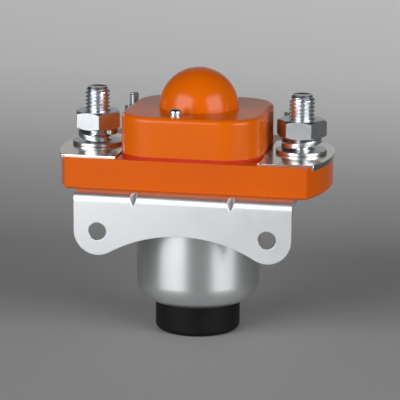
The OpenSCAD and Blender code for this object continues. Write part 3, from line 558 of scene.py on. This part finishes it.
diagonal = math.sqrt(0.5)
print("the corner moves out by", round((tight_outline(diagonal, diagonal) - FOLD_RADIUS) / MM, 2), "mm")

# %% [markdown]
# ## Softened edges
# A solid from a construction model has edges of no width, and no light catches on them. Every real edge is
# broken a little. A bevel modifier could do it, but a bevel in mesh code also tells which faces are new, and
# these faces carry the mask that Edge shine reads. Every copy stays inside its solid's box and stands in for
# the solid. Cover and can are rounded already, the gasket is thin and most inner pieces are hidden, so these
# stay as they are.

# %% Break the edges
SHARP_FROM = math.radians(30)
FLAT_WITHIN = math.radians(0.3)
BEVEL_SEGMENTS = 2


def bevelled(name, width):
    """The solid's mesh with broken edges; the new faces are marked in the layer edge."""
    mesh = bmesh.new()
    mesh.from_mesh(nodes[name].data)
    bmesh.ops.remove_doubles(mesh, verts=mesh.verts, dist=TINY)
    bmesh.ops.dissolve_limit(mesh, angle_limit=FLAT_WITHIN, verts=mesh.verts, edges=mesh.edges)
    mark = mesh.faces.layers.float.new("edge")
    sharp = [edge for edge in mesh.edges
             if len(edge.link_faces) == 2 and edge.calc_face_angle() > SHARP_FROM]
    made = bmesh.ops.bevel(mesh, geom=sharp, offset=width, offset_type="OFFSET", segments=BEVEL_SEGMENTS,
                           profile=0.5, affect="EDGES", clamp_overlap=True)
    for face in made["faces"]:
        face[mark] = 1.0
    return mesh


print("edges sharper than", round(math.degrees(SHARP_FROM)), "degrees are broken")

# %% Soften what is seen
SINGLE_WIDTHS_MM = {"base": 0.45, "mounting_bracket": 0.35, "end_cap": 0.25}
PAIR_WIDTHS_MM = {"terminal_plate": 0.25, "flat_washer": 0.25, "spring_washer": 0.35, "terminal_nut": 0.25,
                  "coil_nut": 0.15, "coil_washer": 0.12}
RESHAPED = {"mounting_bracket": tighten_fold}


def stand_in(piece, name):
    """The piece takes the solid's place, on the same body."""
    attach(piece, nodes[name]["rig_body"])
    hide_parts(name)


def softened(name, width, reshape=None):
    """A copy of the solid with broken edges, in its finish and in its place."""
    mesh = bevelled(name, width)
    if reshape:
        reshape(mesh, name)
        bmesh.ops.dissolve_degenerate(mesh, edges=mesh.edges, dist=TINY)
    low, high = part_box(name)
    for vert in mesh.verts:
        vert.co = [min(max(value, least), most) for value, least, most in zip(vert.co, low, high)]
    soft = bpy.data.meshes.new(name + "_softened")
    mesh.to_mesh(soft)
    mesh.free()
    soft.shade_smooth()
    soft.materials.append(node_finish[name])
    piece = linked(name + "_softened", soft)
    normals = piece.modifiers.new("even_faces", "WEIGHTED_NORMAL")
    normals.keep_sharp = True
    stand_in(piece, name)
    return piece


edge_widths = dict(SINGLE_WIDTHS_MM)
for kind, width in PAIR_WIDTHS_MM.items():
    for side in SIDES:
        edge_widths[f"{kind}_{side}"] = width
for name, width in edge_widths.items():
    piece = softened(name, width * MM, RESHAPED.get(name))
    print(piece.name, len(piece.data.polygons), "faces")

# %% [markdown]
# ## Threads
# The studs are bolts whose threads stand free above the nuts. A bump pattern would leave a smooth outline, so
# the thread is cut in the mesh: four helical lines (two on the crest, two in the root) climb side by side,
# and neighbouring turns share them. Points past an end slide back to it, and at the tip they slide on to its
# chamfer.

# %% Faces of a thread
CREST = (0.02, 0.24)
ROOT = (0.55, 0.71)
DEPTH_PER_PITCH = 0.58
WELD = 1e-7


def thread_faces(mesh, axis_x, axis_y, start, end, radius, pitch, tip_depth, tip_length, steps):
    """A helical skin from start to end, with so many steps in a turn."""
    root = radius - DEPTH_PER_PITCH * pitch
    lines = [(phase, radius) for phase in CREST] + [(phase, root) for phase in ROOT]

    def point(step, phase, reach):
        angle = 2 * math.pi * step / steps
        z = start + pitch * (step / steps + phase - 1)
        room = radius - max(0.0, z - (end - tip_length)) * tip_depth / tip_length
        reach = min(reach, max(room, radius - tip_depth))
        z = min(max(z, start), end)
        return mesh.verts.new((axis_x + reach * math.cos(angle), axis_y + reach * math.sin(angle), z))

    turns = math.ceil((end - start) / pitch) + 2
    rows = [[point(step, *line) for line in lines] for step in range(turns * steps + 1)]
    for step in range(len(rows) - 1):
        here, there = rows[step], rows[step + 1]
        for k in range(len(lines) - 1):
            mesh.faces.new((here[k], there[k], there[k + 1], here[k + 1]))
        if step + steps + 1 < len(rows):
            mesh.faces.new((here[-1], there[-1], rows[step + steps + 1][0], rows[step + steps][0]))
    bmesh.ops.remove_doubles(mesh, verts=mesh.verts, dist=WELD)
    bmesh.ops.dissolve_degenerate(mesh, edges=mesh.edges, dist=WELD)


print("crest and root take", [round(b - a, 2) for a, b in (CREST, ROOT)], "of the pitch")

# %% [markdown]
# ## Ends of a thread
# The helical skin is open at both ends. Below, a cone that hides in the bolt's head closes it. Above, thread
# rolling pushes the rim of the end face up, so that the end is slightly cupped. A flat cap would be quicker,
# but the cup shows as a dark oval on the studs.

# %% Close the ends
CUP_FLOOR = 0.78


def close_ends(mesh, foot, cup):
    """A cone down to the point foot, and a cup whose floor has the point cup in its middle."""
    open_edges = [edge for edge in mesh.edges if edge.is_boundary]
    foot_vert, cup_vert = mesh.verts.new(foot), mesh.verts.new(cup)
    inwards = Vector((CUP_FLOOR, CUP_FLOOR, 0))
    floor = {}
    for vert in [vert for edge in open_edges for vert in edge.verts]:
        if vert.co.z > cup.z and vert not in floor:
            floor[vert] = mesh.verts.new(cup + inwards * (vert.co - cup))
    for a, b in [edge.verts for edge in open_edges]:
        if a in floor:
            mesh.faces.new((a, b, floor[b], floor[a]))
            mesh.faces.new((floor[a], floor[b], cup_vert))
        else:
            mesh.faces.new((a, b, foot_vert))


print("the cup's floor takes", CUP_FLOOR, "of the end's width")

# %% [markdown]
# ## Studs
# Each stud is a hexagon bolt pushed through from below. Its head could be an outline that is extruded, but a
# cone with six sides and equal ends is the shortest way to a hexagon. Edges stay crisp where faces meet at a
# clear angle, and everything else is shaded smooth.

# %% Threaded studs
CREASE = math.radians(35)
POWER_STUD = dict(radius=5.0 * MM, pitch=1.5 * MM, head_width=16 * MM, head_height=6.4 * MM,
                  tip_depth=1.2 * MM, tip_length=1.9 * MM, cup_depth=0.5 * MM, steps=40)
COIL_STUD = dict(radius=2.0 * MM, pitch=0.7 * MM, head_width=7 * MM, head_height=2.8 * MM,
                 tip_depth=0.5 * MM, tip_length=0.7 * MM, cup_depth=0.2 * MM, steps=24)


def hexagon_head(mesh, middle, width, height):
    """A hexagon with this width across its flats."""
    corner = width / 2 / math.cos(math.radians(30))
    bmesh.ops.create_cone(mesh, cap_ends=True, segments=6, radius1=corner, radius2=corner, depth=height,
                          matrix=Matrix.Translation(middle) @ Matrix.Rotation(math.radians(90), 4, "Z"))


def threaded_stud(name, head_width, head_height, cup_depth, **thread):
    """A hexagon bolt as tall as its solid, with a real thread."""
    low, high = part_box(name)
    x, y = (low.x + high.x) / 2, (low.y + high.y) / 2
    head_middle = Vector((x, y, low.z + head_height / 2))
    mesh = bmesh.new()
    thread_faces(mesh, x, y, low.z + head_height, high.z, **thread)
    close_ends(mesh, head_middle, Vector((x, y, high.z - cup_depth)))
    hexagon_head(mesh, head_middle, head_width, head_height)
    bmesh.ops.recalc_face_normals(mesh, faces=mesh.faces)
    for face in mesh.faces:
        face.smooth = True
    for edge in mesh.edges:
        edge.smooth = not (len(edge.link_faces) == 2 and edge.calc_face_angle() > CREASE)
    stud = bpy.data.meshes.new(name + "_thread")
    mesh.to_mesh(stud)
    mesh.free()
    stud.materials.append(node_finish[name])
    piece = linked(name + "_thread", stud)
    stand_in(piece, name)
    return piece


for kind, sizes in (("terminal_stud", POWER_STUD), ("coil_stud", COIL_STUD)):
    for side in SIDES:
        piece = threaded_stud(f"{kind}_{side}", **sizes)
        print(piece.name, len(piece.data.polygons), "faces")

# %% [markdown]
# ## Screws
# The cover is held by two small screws with domed heads and two washers each, the bracket by four larger ones
# from below. A screw is round about its axis, so its mesh is a profile spun round that axis. A Screw modifier
# could spin it; a short loop gives closed ends as well, and as many screws as needed in one mesh.

# %% A turned solid
TURNED_STEPS = 40


def turned(mesh, profile, x, y):
    """Closed solid of revolution; the profile runs from the axis to the axis, as radius and height."""
    angles = [2 * math.pi * i / TURNED_STEPS for i in range(TURNED_STEPS)]
    rings = []
    for radius, z in profile:
        if radius == 0:
            rings.append([mesh.verts.new((x, y, z))])
        else:
            rings.append([mesh.verts.new((x + radius * math.cos(a), y + radius * math.sin(a), z))
                          for a in angles])
    for first, second in zip(rings, rings[1:]):
        for i in range(TURNED_STEPS):
            j = (i + 1) % TURNED_STEPS
            corners = [first[i % len(first)], first[j % len(first)], second[j % len(second)],
                       second[i % len(second)]]
            mesh.faces.new(list(dict.fromkeys(corners)))


print("turned pieces have", TURNED_STEPS, "steps round the axis")

# %% Profile of a screw
POINT_SHARE = 0.8
POINT_LENGTH = 0.4 * MM
WASHER_EDGE = 0.12 * MM
RIM_SHARE = 0.2
DOME_DEGREES = range(0, 81, 10)


def screw_profile(foot, top, head_r, head_h, shank_r, washers):
    """From the foot to the middle of the head, which may point up or down.

    Washers lie under the head, as radius and thickness from the seat on."""
    side = 1 if top > foot else -1
    seat = top - side * (head_h + sum(thickness for _, thickness in washers))
    profile = [(0, foot), (shank_r * POINT_SHARE, foot), (shank_r, foot + side * POINT_LENGTH),
               (shank_r, seat)]
    for radius, thickness in washers:
        profile += [(radius - WASHER_EDGE, seat), (radius, seat + side * WASHER_EDGE),
                    (radius, seat + side * (thickness - WASHER_EDGE)),
                    (radius - WASHER_EDGE, seat + side * thickness)]
        seat += side * thickness
    profile.append((head_r, seat))
    for degrees in DOME_DEGREES:
        turn = math.radians(degrees)
        rise = RIM_SHARE + (1 - RIM_SHARE) * math.sin(turn)
        profile.append((head_r * math.cos(turn), seat + side * head_h * rise))
    return profile + [(0, top)]


print("a head's dome has", len(DOME_DEGREES), "rings")

# %% [markdown]
# ## Cross recesses
# The driver's cross is two crossed bars sunk into the head. It could be a dark decal, but its walls catch the
# light, so it is cut with a boolean, which keeps them crisp. The result is taken over as a plain mesh, and
# the cutter is thrown away.

# %% Cut a recess
RECESS_LENGTH = 0.9
RECESS_WIDTH = 0.22
RECESS_DEPTH = 0.9
RECESS_TURN = 25


def cross_recess(mesh, x, y, top, head_r, head_h):
    """Two crossed bars; their sizes are shares of the head's radius and height."""
    for turn in (0, 90):
        size = Matrix.Diagonal((head_r * RECESS_LENGTH, head_r * RECESS_WIDTH, head_h * RECESS_DEPTH, 1))
        spot = Matrix.Translation((x, y, top)) @ Matrix.Rotation(math.radians(turn + RECESS_TURN), 4, "Z")
        bmesh.ops.create_cube(mesh, size=1, matrix=spot @ size)


def cut_away(piece, cutter):
    """The piece's mesh without what the cutter covers; the cutter is removed."""
    cut = piece.modifiers.new("recess", "BOOLEAN")
    cut.object = cutter
    cut.operation = "DIFFERENCE"
    cut.solver = "EXACT"
    cut.use_self = True
    bpy.context.view_layer.update()
    finished = bpy.data.meshes.new_from_object(piece.evaluated_get(bpy.context.evaluated_depsgraph_get()))
    piece.modifiers.clear()
    piece.data = finished
    bpy.data.objects.remove(cutter)
    return finished


print("a recess takes", RECESS_LENGTH, "of the head's radius from tip to tip")

# %% Screws of cover and bracket
COVER_RING = 22.9 * MM
COVER_BEARING = 258
RIGHT_LEG_PLACES = ((34 * MM, -15 * MM), (12 * MM, 28.9 * MM))


def solid_piece(name, mesh):
    """A new object in the scene from a finished mesh, with its faces turned outwards."""
    bmesh.ops.recalc_face_normals(mesh, faces=mesh.faces)
    data = bpy.data.meshes.new(name)
    mesh.to_mesh(data)
    mesh.free()
    return linked(name, data)


def screws(name, places, head_r, head_h, shank_r, head_up, washers=()):
    """Turned screws with cross recesses at all the places, in one piece."""
    low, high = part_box(name)
    top, foot = (high.z, low.z) if head_up else (low.z, high.z)
    profile = screw_profile(foot, top, head_r, head_h, shank_r, washers)
    body, bars = bmesh.new(), bmesh.new()
    for x, y in places:
        turned(body, profile, x, y)
        cross_recess(bars, x, y, top, head_r, head_h)
    piece = solid_piece(name + "_turned", body)
    finished = cut_away(piece, solid_piece(name + "_recess", bars))
    finished.materials.clear()
    finished.materials.append(node_finish[name])
    finished.shade_smooth()
    finished.set_sharp_from_angle(angle=CREASE)
    stand_in(piece, name)
    print(piece.name, len(finished.polygons), "faces")


cover_turns = [math.radians(COVER_BEARING + turn) for turn in (0, 180)]
cover_places = [(COVER_RING * math.cos(turn), COVER_RING * math.sin(turn)) for turn in cover_turns]
base_places = [(mirror * x, y) for x, y in RIGHT_LEG_PLACES for mirror in (1, -1)]
screws("cover_screws", cover_places, head_r=2.35 * MM, head_h=1.5 * MM, shank_r=1.5 * MM, head_up=True,
       washers=((2.55 * MM, 0.6 * MM), (2.15 * MM, 0.9 * MM)))
screws("base_screws", base_places, head_r=3.5 * MM, head_h=2.4 * MM, shank_r=2.0 * MM, head_up=False)

# %% [markdown]
# ## Springs
# Both springs are round wire on a helix whose last turns lie close, so that the ends sit flat. A curve with a
# bevel could draw the wire, but rings of points set along the helix give a closed mesh at once. When the
# plunger goes down, the return spring shortens from above and the contact spring from below.

# %% Path and section of the wire
WIRE_SIDES = 12
CLOSE_END = 0.16
EVEN_CLIMB = 0.22


def climbed(part):
    """Share of the height at this share of the wire: slow in the end turns, fast between them."""
    eased = (max(0.0, part - CLOSE_END) - max(0.0, part - 1 + CLOSE_END)) / (1 - 2 * CLOSE_END)
    return (1 - EVEN_CLIMB) * eased + EVEN_CLIMB * part


def wire_ring(mesh, angle, z, mean_r, wire_r):
    """Points round the wire, where the helix has this angle and height."""
    ring = []
    for side in range(WIRE_SIDES):
        around = 2 * math.pi * side / WIRE_SIDES
        radius = mean_r + wire_r * math.cos(around)
        ring.append(mesh.verts.new((radius * math.cos(angle), radius * math.sin(angle),
                                    z + wire_r * math.sin(around))))
    return ring


print("each end:", CLOSE_END, "of the wire climbs", round(climbed(CLOSE_END), 3), "of the height")

# %% Wind the springs
STEPS_PER_TURN = 36
WIRE_CREASE = math.radians(40)


def wound(name, mean_r, wire_r, turns):
    """A spring as tall as its solid."""
    low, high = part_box(name)
    height = high.z - low.z - 2 * wire_r
    total = turns * STEPS_PER_TURN
    mesh = bmesh.new()
    rings = [wire_ring(mesh, 2 * math.pi * step / STEPS_PER_TURN,
                       low.z + wire_r + height * climbed(step / total), mean_r, wire_r)
             for step in range(total + 1)]
    for first, second in zip(rings, rings[1:]):
        for j in range(WIRE_SIDES):
            k = (j + 1) % WIRE_SIDES
            mesh.faces.new((first[j], first[k], second[k], second[j]))
    mesh.faces.new(rings[0])
    mesh.faces.new(rings[-1])
    piece = solid_piece(name + "_wire", mesh)
    piece.data.materials.append(node_finish[name])
    piece.data.shade_smooth()
    piece.data.set_sharp_from_angle(angle=WIRE_CREASE)
    stand_in(piece, name)
    print(piece.name, len(piece.data.polygons), "faces")
    return piece


return_wire = wound("return_spring", mean_r=4.6 * MM, wire_r=0.6 * MM, turns=6)
contact_wire = wound("contact_spring", mean_r=5.55 * MM, wire_r=0.55 * MM, turns=5)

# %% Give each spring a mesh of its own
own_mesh(return_wire)
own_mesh(contact_wire)
